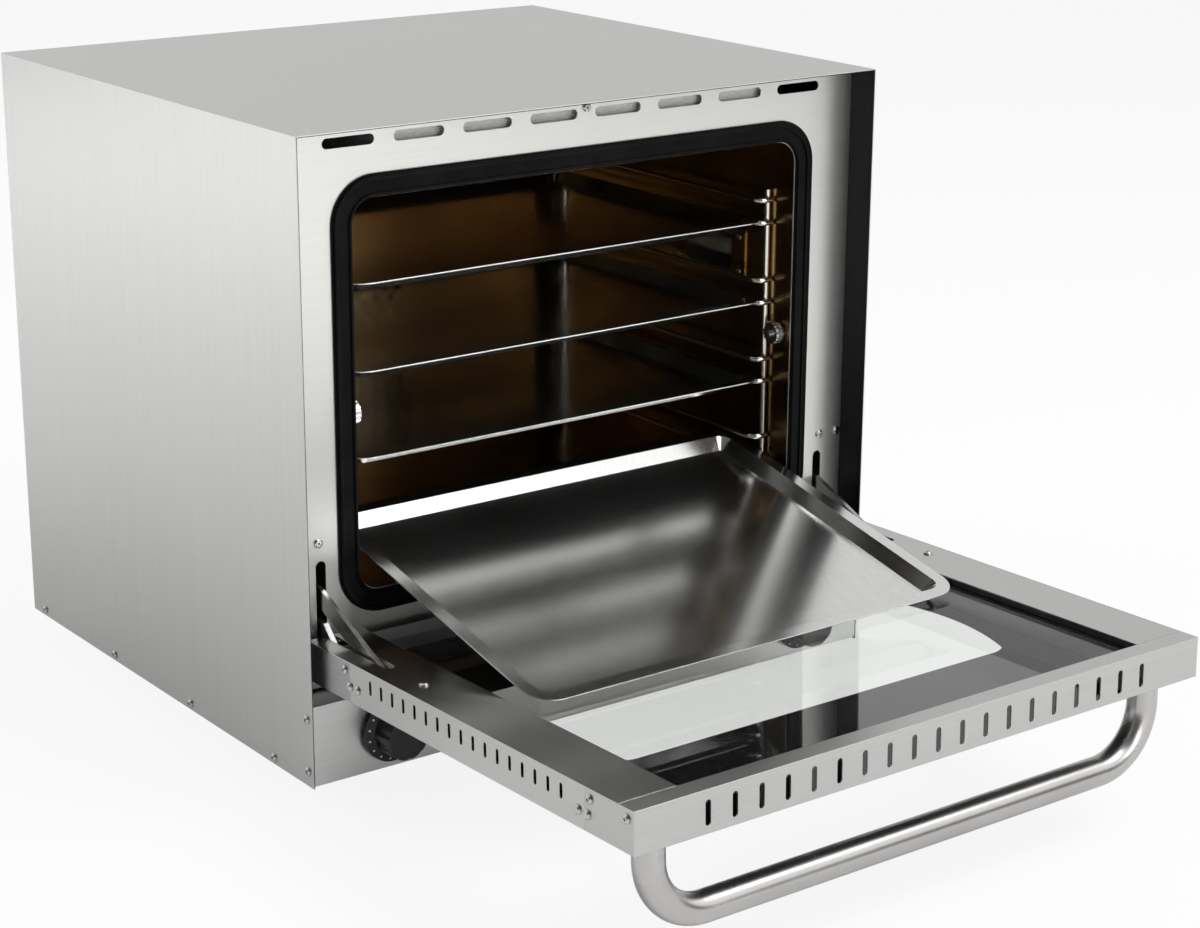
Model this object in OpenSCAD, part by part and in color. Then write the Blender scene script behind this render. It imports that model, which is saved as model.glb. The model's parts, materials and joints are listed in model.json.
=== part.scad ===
// Countertop convection oven with a drop-down glass door, strap hinges and four sliding trays.
// The front faces -Y. The origin is the middle of the casing's underside and the feet stand below it.

/* [Casing] */
// Outside width of the casing
casing_w = 595; // [560:1:680]
// Outside depth of the casing
casing_d = 530; // [500:1:600]
// Height of the casing above its underside
casing_h = 541; // [500:1:620]
// Thickness of the casing sheet
sheet = 1.2; // [0.8:0.1:2]
// Depth of the front recess that the door closes into
recess = 30; // [27:1:36]
// Diameter of a foot
foot_d = 36; // [24:1:50]
// Height of a foot
foot_h = 29; // [15:1:45]
// Distance from the casing's sides to a foot's centre
foot_inset_x = 75; // [40:1:120]
// Distance from the casing's front and back to a foot's centre
foot_inset_y = 95; // [40:1:140]

/* [Cavity] */
// Space between the casing's side and the cavity's wall
side_space = 66; // [62:0.5:80]
// Space above the cavity
top_space = 61.5; // [50:0.5:80]
// Height of the cavity's floor above the casing's underside
floor_h = 149.5; // [140:0.5:165]
// Space behind the cavity for the fan motor
rear_space = 90; // [82:1:110]
// Space between the fan baffle and the cavity's back wall
fan_space = 38; // [34:1:50]
// Thickness of the cavity's sheet
liner_sheet = 1; // [0.6:0.1:1.5]
// Corner radius of the cavity's mouth
mouth_r = 20.5; // [10:0.5:36]

/* [Front] */
// Number of cooling slots above the mouth
top_slots = 8; // [4:2:10]
// Pitch of the cooling slots
top_slot_pitch = 66.5; // [54:0.5:72]
// Length of a cooling slot
top_slot_l = 48; // [30:1:52]
// Height of a cooling slot
top_slot_h = 8.5; // [5:0.5:12]
// Number of air slots below the mouth
air_slots = 21; // [9:2:25]
// Pitch of the air slots
air_slot_pitch = 19; // [12:0.5:21]
// Length of an air slot
air_slot_l = 19; // [10:1:24]
// Width of an air slot
air_slot_w = 4; // [2:0.5:7]
// Width of the door seal's band
seal_w = 19; // [14:0.5:22]
// Height of the door seal above the front plate
seal_proud = 4; // [3:0.5:6]
// Height of the control panel
panel_h = 70; // [60:1:80]

/* [Door] */
// Gap between the door and the casing's side
door_side_gap = 9.5; // [5:0.5:14]
// Thickness of the door
door_t = 34; // [31:0.5:42]
// Distance of the pivot behind the casing's front edge
pivot_setback = 10; // [8:0.5:12]
// Distance of the pivot below the cavity's floor
hinge_drop = 42.5; // [38:0.5:50]
// Distance of the pivot above the door's lower end
door_tail = 10; // [8:0.5:12]
// Gap between the closed door's upper end and the casing's top
door_top_gap = 4; // [3:0.5:8]
// Angle of the open door from upright
door_open = 88.6; // [60:0.1:90]
// Width of the steel border at each side of the door's inner face
border_w = 52; // [46:0.5:58]
// Width of the top rail's flange on the inner face
rail_flange = 18; // [12:0.5:24]
// Depth of the inner glass below the border
glass_drop = 6.5; // [4:0.5:9]
// Thickness of the inner glass
inner_glass_t = 4; // [3:0.5:5]
// Thickness of the outer glass
outer_glass_t = 5; // [4:0.5:6]
// Number of slots in the door's top rail
rail_slots = 19; // [9:2:21]
// Pitch of the top rail's slots
rail_slot_pitch = 24.7; // [18:0.1:26]
// Number of slots in each side of the door
side_slots = 17; // [9:1:18]
// Pitch of the side slots
side_slot_pitch = 16.1; // [12:0.1:17]

/* [Handle] */
// Diameter of the handle's tube
handle_d = 25; // [18:0.5:30]
// Wall of the handle's tube
handle_wall = 1.5; // [1:0.25:2.5]
// Distance of the handle's bar from the door's outer face
handle_reach = 71; // [66:1:80]
// Bend radius of the handle's centre line
handle_bend = 50; // [32:1:52]
// Distance of the handle's legs from the door's sides
handle_inset_x = 33; // [30:1:80]
// Distance of the handle's legs from the door's upper end
handle_inset_s = 27; // [26:1:60]

/* [Hinges] */
// Distance of the hinges from the door's sides
hinge_inset = 20; // [18:0.5:24]
// Diameter of the hinge pins
pin_d = 6; // [5:0.5:8]
// Thickness of the fixed hinge arm
arm_t = 5; // [4:0.5:6]
// Thickness of the strap
strap_t = 4; // [3:0.5:5]
// Width of the strap
strap_w = 15; // [10:0.5:16]
// Length of the strap from its pin to its inner end
strap_l = 125; // [115:1:140]
// Distance of the strap's pin from the pivot along the door
strap_pin_s = 76; // [73:0.5:79]
// Height of the strap's pin towards the door's inner face
strap_pin_t = 3; // [2:0.5:5]
// Rise of the strap towards the oven while the door is open
strap_rise = 23; // [21:0.5:24]

/* [Shelves] */
// Height of the lowest rungs above the cavity's floor
first_tier = 29; // [24:0.5:36]
// Pitch of the tiers
tier_pitch = 74; // [62:0.5:78]
// Height of an upper rung above the lower one of its tier
rung_gap = 21; // [17:0.5:26]
// Diameter of the shelf wire
wire_d = 5; // [4:0.5:6]
// Gap between a tray and the cavity's wall
tray_side_gap = 9; // [8:0.5:12]
// Overlap of the tray's rim past the rung's centre line
rung_lap = 9; // [6:0.5:10]
// Distance of the trays' front edge behind the front plate
tray_setback = 20; // [16:0.5:30]
// Gap between the trays and the fan baffle
tray_back_gap = 24; // [14:1:50]
// Width of the tray's flat rim
tray_rim = 12; // [9:0.5:14]
// Depth of the tray's pan
tray_depth = 10; // [6:0.5:14]
// Corner radius of the tray's floor
tray_floor_r = 3; // [1:0.5:12]
// Thickness of the tray's sheet
tray_sheet = 0.9; // [0.6:0.1:1.2]
// How far the lowest tray's rear edge is still inside the front plate
tray_4_inside = 77; // [70:1:90]

/* [Controls] */
// Radius of a knob's dial skirt
knob_r = 28; // [20:0.5:30]
// Radius of a knob's grip
grip_r = 20; // [14:0.5:22]
// Number of flutes round a knob's grip
grip_flutes = 10; // [6:1:14]
// Height of a knob
knob_h = 26; // [18:0.5:30]
// Diameter of the knobs' shafts
shaft_d = 6; // [4:0.5:8]
// Distance of the knobs from the casing's sides
knob_inset = 74.5; // [62:0.5:100]
// Distance of the outer indicator lamp from the right knob
lamp_inset = 69; // [50:1:90]
// Pitch of the indicator lamps
lamp_pitch = 34; // [24:1:40]

/* [Fan] */
// Diameter of the fan wheel
fan_d = 150; // [120:1:165]
// Number of fan blades
fan_blades = 14; // [8:1:18]
// Diameter of the heating ring
ring_d = 200; // [186:1:220]
// Diameter of the fan motor
motor_d = 84; // [70:1:100]

/* [Hidden] */
$fn = 48;
// A small overlap that makes cuts run through
eps = 0.5;
// Clearance of pieces that touch without load
seat_gap = 0.2;
// Radial clearance of a running pin or shaft
run_gap = 0.05;
// Clearance between moving pieces that pass each other
pass_gap = 0.5;

// Casing
half_w = casing_w / 2;
front = -casing_d / 2;
inner_half = half_w - sheet;
inner_top = casing_h - sheet;
base_lip = 22;
base_step = 1.5;
field_gap = 8;
field_edge = 40;
field_r = 12;
field_x = half_w - foot_inset_x - foot_d / 2 - field_gap;
field_y = casing_d / 2 - field_edge;
base_slots = 10;
base_slot_rows = 3;
base_slot_pitch = 24;
base_row_pitch = 60;
base_slot_l = 44;
base_slot_w = 5;
foot_taper = 4;
foot_edge = 2;
foot_collar = 5;
foot_stud = 4;
panel_low = 2;
panel_top = panel_low + panel_h;
panel_gap = 2;
fascia_y = front + recess;
fascia_low = panel_top + panel_gap;
fascia_return = 12;
top_slot_drop = 14.5;
top_slot_z = casing_h - top_slot_drop;
air_slot_drop = 52;
air_slot_z = floor_h - air_slot_drop;
back_return = 12;
back_slots = 13;
back_slot_rows = 3;
back_slot_pitch = 18;
back_row_pitch = 66;
back_slot_l = 52;
back_slot_w = 6;

// Screws in the casing
base_screws = 4;
base_screw_front = 65;
base_screw_rear = 25;
base_screw_z = 5.7;
panel_screw_y = 8.5;
panel_screw_low = 11;
panel_screw_high = 13;
hinge_screw_x = 2;
hinge_screw_rise = 16;
side_screw_inset = 5.5;
top_screw_rise = 0.5;

// Gland in the back panel
gland_inset = 70;
gland_rise = 38;
gland_x = half_w - gland_inset;
gland_z = base_lip + gland_rise;
gland_r = 10;
gland_bore = 5.5;
gland_in = 24;
gland_out = 13;
gland_lap = 5;
gland_nut = 7;
gland_lock = 6;

// Cavity
cav_half = half_w - side_space;
cav_top = casing_h - top_space;
cav_mid = (floor_h + cav_top) / 2;
cav_h = cav_top - floor_h;
liner_front = fascia_y + sheet;
liner_back = casing_d / 2 - rear_space;
liner_flange = 12;
baffle_y = liner_back - fan_space;
seal_clear = 0.4;
seal_gap = 0.4;
seal_edge = 1;
spindle_clear = 2;
wool_t = 22;
wool_low = 7;
wool_gap = 4;
wool_cut = 3;
wool_inset = 26;
wool_top = 20;

// Door, in its own frame: the pivot is the origin, +Y its inner side and +Z its upper end
pivot_y = front + pivot_setback;
pivot_z = floor_h - hinge_drop;
door_half = half_w - door_side_gap;
door_in = recess - pivot_setback - seal_proud - seal_gap;
door_out = door_in - door_t;
door_low = -door_tail;
door_high = casing_h - door_top_gap - pivot_z;
border_in = door_half - border_w;
lip_w = 14;
seam_gap = 0.6;
wrap_low = 55;
wrap_end = 58;
wrap_high = door_high - wrap_end;
rim_strip = 6;
strip_end = 4;
glass_lap = 8;
glass_half = border_in + glass_lap;
glass_face = door_in - glass_drop;
glass_back = glass_face - inner_glass_t;
pane_face = door_out + sheet;
pane_back = pane_face + outer_glass_t;
rail_slot_l = 20;
rail_slot_w = 5;
rail_slot_t = -2.4;
side_slot_l = 12;
side_slot_w = 3.6;
side_slot_t = 2.5;
side_slot_s = 86;
side_screw_t = 7.5;
tail_screw_s = 7;
head_screw_s = 6;
end_screw_s = 8.5;
rivet_t = -5;
rivet_pitch = 11.5;
rivet_back = 8;

// Handle
handle_x = door_half - handle_inset_x;
handle_s = door_high - handle_inset_s;
handle_t = door_out - handle_reach;
plug_l = handle_reach - handle_bend;
bolt_r = 4;
bolt_head_h = 5;
bolt_head_lap = 3;
bolt_short = 6;

// Hinges
hinge_x = door_half - hinge_inset;
cheek_t = 3;
cheek_in = max(arm_t, strap_t) / 2 + pass_gap;
cheek_out = cheek_in + cheek_t;
hinge_slot_clear = 2.25;
hinge_slot_w = max(arm_t, strap_t) + 2 * hinge_slot_clear;
hinge_slot_drop = 37.5;
hinge_slot_rise = 34.5;
hinge_slot_low = floor_h - hinge_slot_drop;
hinge_slot_high = floor_h + hinge_slot_rise;
case_lap = 5;
case_below = 12;
case_above = 11;
case_half = hinge_slot_w / 2 + case_lap;
case_low = hinge_slot_low - case_below;
case_high = hinge_slot_high + case_above;
case_l = 112;
case_tab = 14;
case_sheet = 1.5;
arm_clear = 2;
arm_h = 18;
arm_low = hinge_slot_low + arm_clear;
arm_high = arm_low + arm_h;
arm_throat = 3;
arm_foot = 16;
arm_foot_l = 28;
arm_back = 30;
eye_wall = 5;
eye_r = pin_d / 2 + eye_wall;
notch_clear = 2;
notch_half = arm_t / 2 + notch_clear;
notch_s = 30;
notch_lap = 4;
strap_slot_back = 52;
strap_slot_end = 4;
strap_slot_clear = 2.5;
strap_slot_low = strap_pin_s - strap_slot_back;
strap_slot_high = strap_pin_s + strap_w / 2 + strap_slot_end;
strap_slot_half = strap_t / 2 + strap_slot_clear;
strap_hook = 20;
strap_nose = 4;
strap_step = 8;
strap_drop = 5;
fork_low = 14;
fork_shoulder = 18;
fork_web = 16;
fork_end = 6;
fork_bridge = 4;
fork_tab = 10;
fork_tab_l = 27.5;
pin_end = 1;
pin_head_h = 1.5;
pin_head_lap = 1.5;

// Shelves
tray_w = 2 * (cav_half - tray_side_gap);
tray_r = tray_floor_r + tray_depth + tray_rim;
tray_front = fascia_y + tray_setback;
tray_d = baffle_y - tray_back_gap - tray_front;
rung_x = tray_w / 2 - rung_lap;
wire_r = wire_d / 2;
upright_gap = 1;
upright_x = cav_half - wire_r - upright_gap;
rung_bend = 10;
ladder_in = 8;
ladder_past = 2;
ladder_front = tray_front + ladder_in;
ladder_back = tray_front + tray_d + ladder_past;
tiers = 4;
function tier_z(i) = floor_h + first_tier + i * tier_pitch;
nut_z = (tier_z(1) + rung_gap + tier_z(2)) / 2;
nut_r = 10;
nut_h = 8;
nut_flutes = 16;
nut_flute_r = 1.4;
nut_flute_out = 0.6;
nut_flange = 2;
stud_r = 3;
stud_proud = 3;
lug_t = 1.7;
lug_r = 8;
lug_inset = 13;
ladder_leg = 13.5;
ladder_tip = 9;
ladder_low = tier_z(0) - ladder_leg;
ladder_high = tier_z(tiers - 1) + rung_gap + ladder_tip;

// The lowest tray is drawn out and tips until it rests on the door's glass
tip_gap = 0.4;
tip_y = fascia_y + tray_4_inside;
tip_z = tier_z(0) + rung_gap - wire_r - tip_gap - tray_sheet;
tip_run = tray_d - tray_rim - tray_depth;
tip_drop = cos(door_open) * (tip_y - pivot_y) + sin(door_open) * (tip_z - pivot_z) - glass_face - tip_gap;
tip_angle = asin(tip_drop / norm([tip_run, tray_depth])) - atan2(tray_depth, tip_run) - 90 + door_open;

// Controls
knob_x = half_w - knob_inset;
knob_z = panel_low + panel_h / 2;
bush_wall = 2;
bush_r = shaft_d / 2 + bush_wall;
bush_l = 4;
bush_in = 10;
shaft_in = 14;
shaft_l = knob_h + shaft_in;
shaft_bore_l = 36;
knob_gap = 1.2;
knob_cap = 4;
knob_back = front - bush_l + sheet - knob_gap;
skirt_h = 5;
skirt_rim = 2;
skirt_edge = 0.6;
grip_flare = 1;
grip_edge = 2.5;
flute_r = 5;
flute_depth = 1.8;
flute_rise = 1;
timer_size = [50, 42, 44];
thermostat_r = 21;
thermostat_l = 34;
thermostat_strap = [48, 2, 18];
signal_x = knob_x - lamp_inset;
signal_r = 6;
signal_l = 26;
bezel_r = 8;
bezel_h = 2.5;
dome_h = 3.5;

// Lamp in the right wall
lamp_back = 118;
lamp_rise = 36;
lamp_y = fascia_y + lamp_back;
lamp_z = tier_z(2) + lamp_rise;
cover_l = 105;
cover_h = 50;
cover_t = 1.5;
cover_r = 4;
window_l = 67;
window_h = 34;
window_lap = 2;
lamp_glass_t = 3;
lamp_case_d = 24;
lamp_case_end = 4;
lamp_case_sheet = 1;
bulb_r = 8.5;
bulb_l = 32;
bulb_cap_r = 7.5;
bulb_cap_l = 26;
bulb_shift = 2;

// Fan
fan_gap = 5;
fan_face = baffle_y + sheet + fan_gap;
blade_w = 20;
blade_t = 1.2;
blade_sweep = 46;
blade_edge = 6;
blade_shift = 2;
blade_r = fan_d / 4;
disc_t = 1.2;
hub_r = 13;
hub_proud = 4;
hub_cap = 4;
spindle_r = 4;
spindle_in = 30;
spindle_y = fan_face + hub_cap;
motor_gap = 14;
motor_l = 46;
motor_cap_l = 5;
motor_neck = 6;
motor_post_r = 4;
motor_post_inset = 8;
motor_end = 8;
ring_wire_r = 3.25;
ring_leg_r = ring_wire_r + 1;
ring_gap = 9;
ring_pitch = 12;
ring_leg_x = 20;
ring_leg_z = cav_mid - sqrt(pow(ring_d / 2, 2) - pow(ring_leg_x, 2));
ring_leg_out = 14;
baffle_side = 22;
baffle_edge = 12;
baffle_foot = 14;
baffle_foot_rise = 20;
baffle_rings = 4;
baffle_hole_r = 4.5;
baffle_hole_pitch = 13;

// Screw heads and shanks
head_r = 4;
head_h = 2;
head_crown = 0.62;
shank_r = 2;
shank_l = 7;
rivet_l = 3;
hole_l = shank_l + 1;

module box(low, high) {
  translate(low)
    cube(high - low);
}

// A flat rounded rectangle about its centre
module rounded(w, h, r) {
  square([w - 2 * r, h], center = true);
  square([w, h - 2 * r], center = true);
  for (x = [-1, 1], y = [-1, 1])
    translate([x * (w / 2 - r), y * (h / 2 - r)])
      circle(r);
}

// A flat slot with round ends, along X
module slot(l, w) {
  square([l - w, w], center = true);
  for (x = [-1, 1])
    translate([x * (l - w) / 2, 0])
      circle(w / 2);
}

// Copies of a flat slot, each turned across its row, in rows and columns about the middle
module slot_field(columns, rows, pitch, row_pitch) {
  for (i = [0:columns - 1], j = [0:rows - 1])
    translate([(i - (columns - 1) / 2) * pitch, (j - (rows - 1) / 2) * row_pitch])
      rotate(90)
        children();
}

// Stands a flat drawing upright with its thickness from y0 to y1
module upright(y0, y1) {
  translate([0, y1, 0])
    rotate([90, 0, 0])
      linear_extrude(y1 - y0)
        children();
}

// Lays a flat drawing of (Y, Z) between x0 and x1
module sideways(x0, x1) {
  translate([x0, 0, 0])
    rotate([90, 0, 90])
      linear_extrude(x1 - x0)
        children();
}

// A rod along X, Y or Z
module rod_x(p, l, r) {
  translate(p)
    rotate([0, 90, 0])
      cylinder(h = l, r = r);
}
module rod_y(p, l, r) {
  translate(p)
    rotate([-90, 0, 0])
      cylinder(h = l, r = r);
}
module rod_z(p, l, r) {
  translate(p)
    cylinder(h = l, r = r);
}

// A pan-head screw along -Z, with the underside of its head at the origin
module screw(l = shank_l) {
  rotate_extrude()
    polygon([
      [0, -l], [shank_r, -l], [shank_r, 0], [head_r, 0], [head_r, head_h / 2], [head_r * head_crown, head_h],
      [0, head_h]
    ]);
}

// Children on both sides, left and right
module both_sides() {
  children();
  mirror([1, 0, 0])
    children();
}

// Carries the door's own frame to its open place
module on_door() {
  translate([0, pivot_y, pivot_z])
    rotate([door_open, 0, 0])
      children();
}

// Casing

base_screw_pitch = (casing_d - base_screw_front - base_screw_rear) / (base_screws - 1);
casing_screw_places = concat(
  [for (i = [0:base_screws - 1]) [front + base_screw_front + i * base_screw_pitch, base_screw_z]],
  [for (z = [panel_low + panel_screw_low, panel_top - panel_screw_high]) [front + panel_screw_y, z]]
);

module side_screw_holes() {
  both_sides()
    for (p = casing_screw_places)
      rod_x([half_w - hole_l, p.x, p.y], hole_l + eps, shank_r + seat_gap);
}

module hood() {
  color("silver")
    difference() {
      box([-half_w, front, 0], [half_w, -front, casing_h]);
      box([-inner_half, front - eps, -eps], [inner_half, -front + eps, inner_top]);
      side_screw_holes();
    }
}

// Base with a pressed field between the feet, an upstand at its sides and back, and air slots
module base_plate() {
  edge = inner_half - seat_gap;
  top = base_step + sheet;
  color("gray")
    difference() {
      union() {
        difference() {
          box([-edge, front + sheet + seat_gap, base_step], [edge, -front, base_lip]);
          box([-edge + sheet, front, top], [edge - sheet, -front - sheet, base_lip + eps]);
        }
        linear_extrude(top)
          rounded(2 * field_x, 2 * field_y, field_r);
      }
      translate([0, 0, sheet])
        linear_extrude(top)
          rounded(2 * (field_x - sheet), 2 * (field_y - sheet), field_r - sheet);
      both_sides()
        box([edge - sheet - seat_gap, front, 0], [edge + eps, fascia_y + seat_gap, base_lip + eps]);
      side_screw_holes();
      translate([0, 0, -eps])
        linear_extrude(sheet + 2 * eps)
          slot_field(base_slots, base_slot_rows, base_slot_pitch, base_row_pitch)
            slot(base_slot_l, base_slot_w);
      at_feet()
        rod_z([0, 0, base_step - eps], sheet + 2 * eps, bolt_r);
    }
}

module at_feet() {
  for (x = [-1, 1], y = [-1, 1])
    translate([x * (half_w - foot_inset_x), y * (casing_d / 2 - foot_inset_y), 0])
      children();
}

module feet() {
  r = foot_d / 2;
  stud = bolt_r - seat_gap;
  high = base_step + sheet + foot_stud;
  color("black")
    at_feet()
      rotate_extrude()
        polygon([
          [0, -foot_h], [r - foot_taper, -foot_h], [r - foot_taper + foot_edge, -foot_h + foot_edge],
          [r, base_step - foot_collar], [r, base_step], [stud, base_step], [stud, high], [0, high]
        ]);
}

module back_panel() {
  edge = inner_half - seat_gap;
  low = base_lip + seat_gap;
  high = inner_top - seat_gap;
  y0 = -front - back_return;
  color("silver")
    difference() {
      box([-edge, y0, low], [edge, -front, high]);
      box([-edge + sheet, y0 - eps, low + sheet], [edge - sheet, -front - sheet, high - sheet]);
      upright(-front - sheet - eps, -front + eps)
        translate([0, cav_mid])
          slot_field(back_slots, back_slot_rows, back_slot_pitch, back_row_pitch)
            slot(back_slot_l, back_slot_w);
      rod_y([gland_x, -front - sheet - eps, gland_z], sheet + 2 * eps, gland_r + seat_gap);
    }
}

module cable_gland() {
  color("dimgray")
    translate([gland_x, -front, gland_z])
      rotate([-90, 0, 0])
        difference() {
          union() {
            rod_z([0, 0, -gland_in], gland_in + gland_out, gland_r);
            cylinder(h = gland_nut, r = gland_r + gland_lap, $fn = 6);
            translate([0, 0, -sheet - gland_lock])
              cylinder(h = gland_lock, r = gland_r + gland_lap, $fn = 6);
          }
          rod_z([0, 0, -gland_in - eps], gland_in + gland_out + 2 * eps, gland_bore);
        }
}

// Front plate, seal and cavity

module mouth(grow = 0) {
  translate([0, cav_mid])
    rounded(2 * (cav_half + grow), cav_h + 2 * grow, mouth_r + grow);
}

module fascia() {
  edge = inner_half - seat_gap;
  high = inner_top - seat_gap;
  color("gainsboro")
    difference() {
      box([-edge, fascia_y, fascia_low], [edge, fascia_y + fascia_return, high]);
      box(
        [-edge + sheet, fascia_y + sheet, fascia_low + sheet],
        [edge - sheet, fascia_y + fascia_return + eps, high - sheet]
      );
      upright(fascia_y - eps, fascia_y + sheet + eps) {
        mouth();
        for (i = [0:top_slots - 1])
          translate([(i - (top_slots - 1) / 2) * top_slot_pitch, top_slot_z])
            slot(top_slot_l, top_slot_h);
        for (i = [0:air_slots - 1])
          translate([(i - (air_slots - 1) / 2) * air_slot_pitch, air_slot_z])
            rotate(90)
              slot(air_slot_l, air_slot_w);
        for (x = [-1, 1])
          translate([x * hinge_x, (hinge_slot_low + hinge_slot_high) / 2])
            rotate(90)
              slot(hinge_slot_high - hinge_slot_low, hinge_slot_w);
      }
      for (p = fascia_screw_places)
        rod_y([p.x, fascia_y - eps, p.y], sheet + 2 * eps, shank_r + seat_gap);
    }
}

fascia_screw_z = hinge_slot_high + hinge_screw_rise;
fascia_screw_places = concat(
  [[0, top_slot_z + top_slot_h / 2 + top_screw_rise]],
  [
    for (side = [-1, 1], x = [hinge_x + hinge_screw_x, inner_half - side_screw_inset])
      [side * x, fascia_screw_z]
  ]
);

module fascia_screws() {
  color("silver")
    for (p = fascia_screw_places)
      translate([p.x, fascia_y, p.y])
        rotate([90, 0, 0])
          screw();
}

module casing_screws() {
  color("silver")
    both_sides()
      for (p = casing_screw_places)
        translate([half_w, p.x, p.y])
          rotate([0, 90, 0])
            screw();
}

// Cross-section of the seal: a flat foot, a step, an outer bulb and a smaller inner bulb
module seal_section() {
  bulb = seal_proud * 0.5;
  bead = seal_proud * 0.3;
  square([seal_w, seal_proud * 0.4]);
  translate([seal_w - bulb - seal_edge, bulb])
    circle(bulb);
  translate([seal_w - 3 * bulb - seal_edge, 0])
    square([2 * bulb, seal_proud * 0.8]);
  translate([bead + seal_edge, 2 * bead])
    circle(bead);
}

module door_seal() {
  corner = mouth_r + seal_clear;
  run_x = 2 * (cav_half + seal_clear - corner);
  run_z = cav_h + 2 * (seal_clear - corner);
  color("black")
    translate([0, fascia_y, cav_mid])
      rotate([90, 0, 0])
        for (turn = [0:3])
          let (along = turn % 2 == 0 ? run_x : run_z, across = turn % 2 == 0 ? run_z : run_x)
            rotate([0, 0, 90 * turn]) {
              translate([along / 2, -across / 2 - corner, 0])
                rotate([90, 0, -90])
                  linear_extrude(along)
                    seal_section();
              translate([along / 2, -across / 2, 0])
                rotate([0, 0, -90])
                  rotate_extrude(angle = 90)
                    translate([corner, 0])
                      seal_section();
            }
}

module cavity_liner() {
  wall = liner_sheet;
  color("darkgoldenrod")
    difference() {
      union() {
        box(
          [-cav_half - wall, liner_front, floor_h - wall],
          [cav_half + wall, liner_back + wall, cav_top + wall]
        );
        box(
          [-cav_half - liner_flange, liner_front, floor_h - liner_flange],
          [cav_half + liner_flange, liner_front + wall, cav_top + liner_flange]
        );
      }
      box([-cav_half, liner_front - eps, floor_h], [cav_half, liner_back, cav_top]);
      rod_y([0, liner_back - eps, cav_mid], wall + 2 * eps, spindle_r + spindle_clear);
      translate([0, lamp_y, lamp_z])
        sideways(cav_half - eps, cav_half + wall + eps)
          lamp_window(window_lap);
      for (x = [-1, 1])
        rod_y([x * ring_leg_x, liner_back - eps, ring_leg_z], wall + 2 * eps, ring_leg_r + seat_gap);
    }
}

// A blanket over the cavity's sides and a narrower one on its roof, with a gap for the lamp's case
module insulation() {
  low = floor_h + wool_low;
  inner = cav_half + liner_sheet + seat_gap;
  outer = inner + wool_t;
  roof = cav_top + liner_sheet + seat_gap;
  roof_half = cav_half - wool_inset;
  y0 = fascia_y + shank_l + seat_gap;
  y1 = liner_back;
  color("white")
    difference() {
      union() {
        box([-outer, y0, low], [outer, y1, roof + wool_top]);
        box([-roof_half, y0, roof], [roof_half, y1, inner_top - wool_gap]);
      }
      box([-inner, y0 - eps, low - eps], [inner, y1 + eps, roof]);
      box(
        [inner - eps, lamp_y - cover_l / 2 - wool_cut, lamp_z - cover_h / 2 - wool_cut],
        [outer + eps, lamp_y + cover_l / 2 + wool_cut, lamp_z + cover_h / 2 + wool_cut]
      );
    }
}

// Control panel

module control_panel() {
  edge = inner_half - seat_gap;
  back = fascia_y + fascia_return;
  color("gainsboro")
    difference() {
      box([-edge, front, panel_low], [edge, back, panel_top]);
      box([-edge + sheet, front + sheet, panel_low - eps], [edge - sheet, back + eps, panel_top - sheet]);
      box([-edge - eps, fascia_y - eps, panel_low - eps], [edge + eps, back + eps, panel_top - sheet]);
      for (x = [-knob_x, knob_x])
        rod_y([x, front - eps, knob_z], sheet + 2 * eps, bush_r + seat_gap);
      for (i = [0, 1])
        rod_y([signal_x - i * lamp_pitch, front - eps, knob_z], sheet + 2 * eps, signal_r + seat_gap);
      side_screw_holes();
    }
}

// A lens with a domed face, a bezel and a body behind the panel
module indicator_lamps() {
  color("darkorange")
    for (i = [0, 1])
      translate([signal_x - i * lamp_pitch, front, knob_z])
        rotate([90, 0, 0])
          rotate_extrude() {
            translate([0, -signal_l])
              square([signal_r, signal_l + bezel_h]);
            polygon([
              [0, 0], [bezel_r, 0], [bezel_r, bezel_h * 0.6], [bezel_r - bezel_h * 0.4, bezel_h],
              [0, bezel_h]
            ]);
            polygon([
              [0, bezel_h], [signal_r, bezel_h], [signal_r * 0.83, bezel_h + dome_h * 0.57],
              [signal_r / 2, bezel_h + dome_h * 0.88], [0, bezel_h + dome_h]
            ]);
          }
}

// Body of a control behind the panel, with the bush that carries its shaft
module control_body(x) {
  difference() {
    union() {
      translate([x, front + sheet, knob_z])
        children();
      rod_y([x, front - bush_l + sheet, knob_z], bush_l + bush_in, bush_r);
    }
    rod_y([x, front - bush_l - eps, knob_z], bush_l + shaft_bore_l, shaft_d / 2 + run_gap);
  }
}

// A block behind the panel, given its width, depth and height
module control_block(size) {
  box([-size.x / 2, 0, -size.z / 2], [size.x / 2, size.y, size.z / 2]);
}

module timer_body() {
  color("dimgray")
    control_body(-knob_x)
      control_block(timer_size);
}

module thermostat_body() {
  color("dimgray")
    control_body(knob_x) {
      rod_y([0, 0, 0], thermostat_l, thermostat_r);
      control_block(thermostat_strap);
    }
}

module control_shaft(x) {
  color("silver")
    rod_y([x, knob_back - knob_h + knob_cap, knob_z], shaft_l, shaft_d / 2);
}
module timer_shaft() {
  control_shaft(-knob_x);
}
module thermostat_shaft() {
  control_shaft(knob_x);
}

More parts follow.
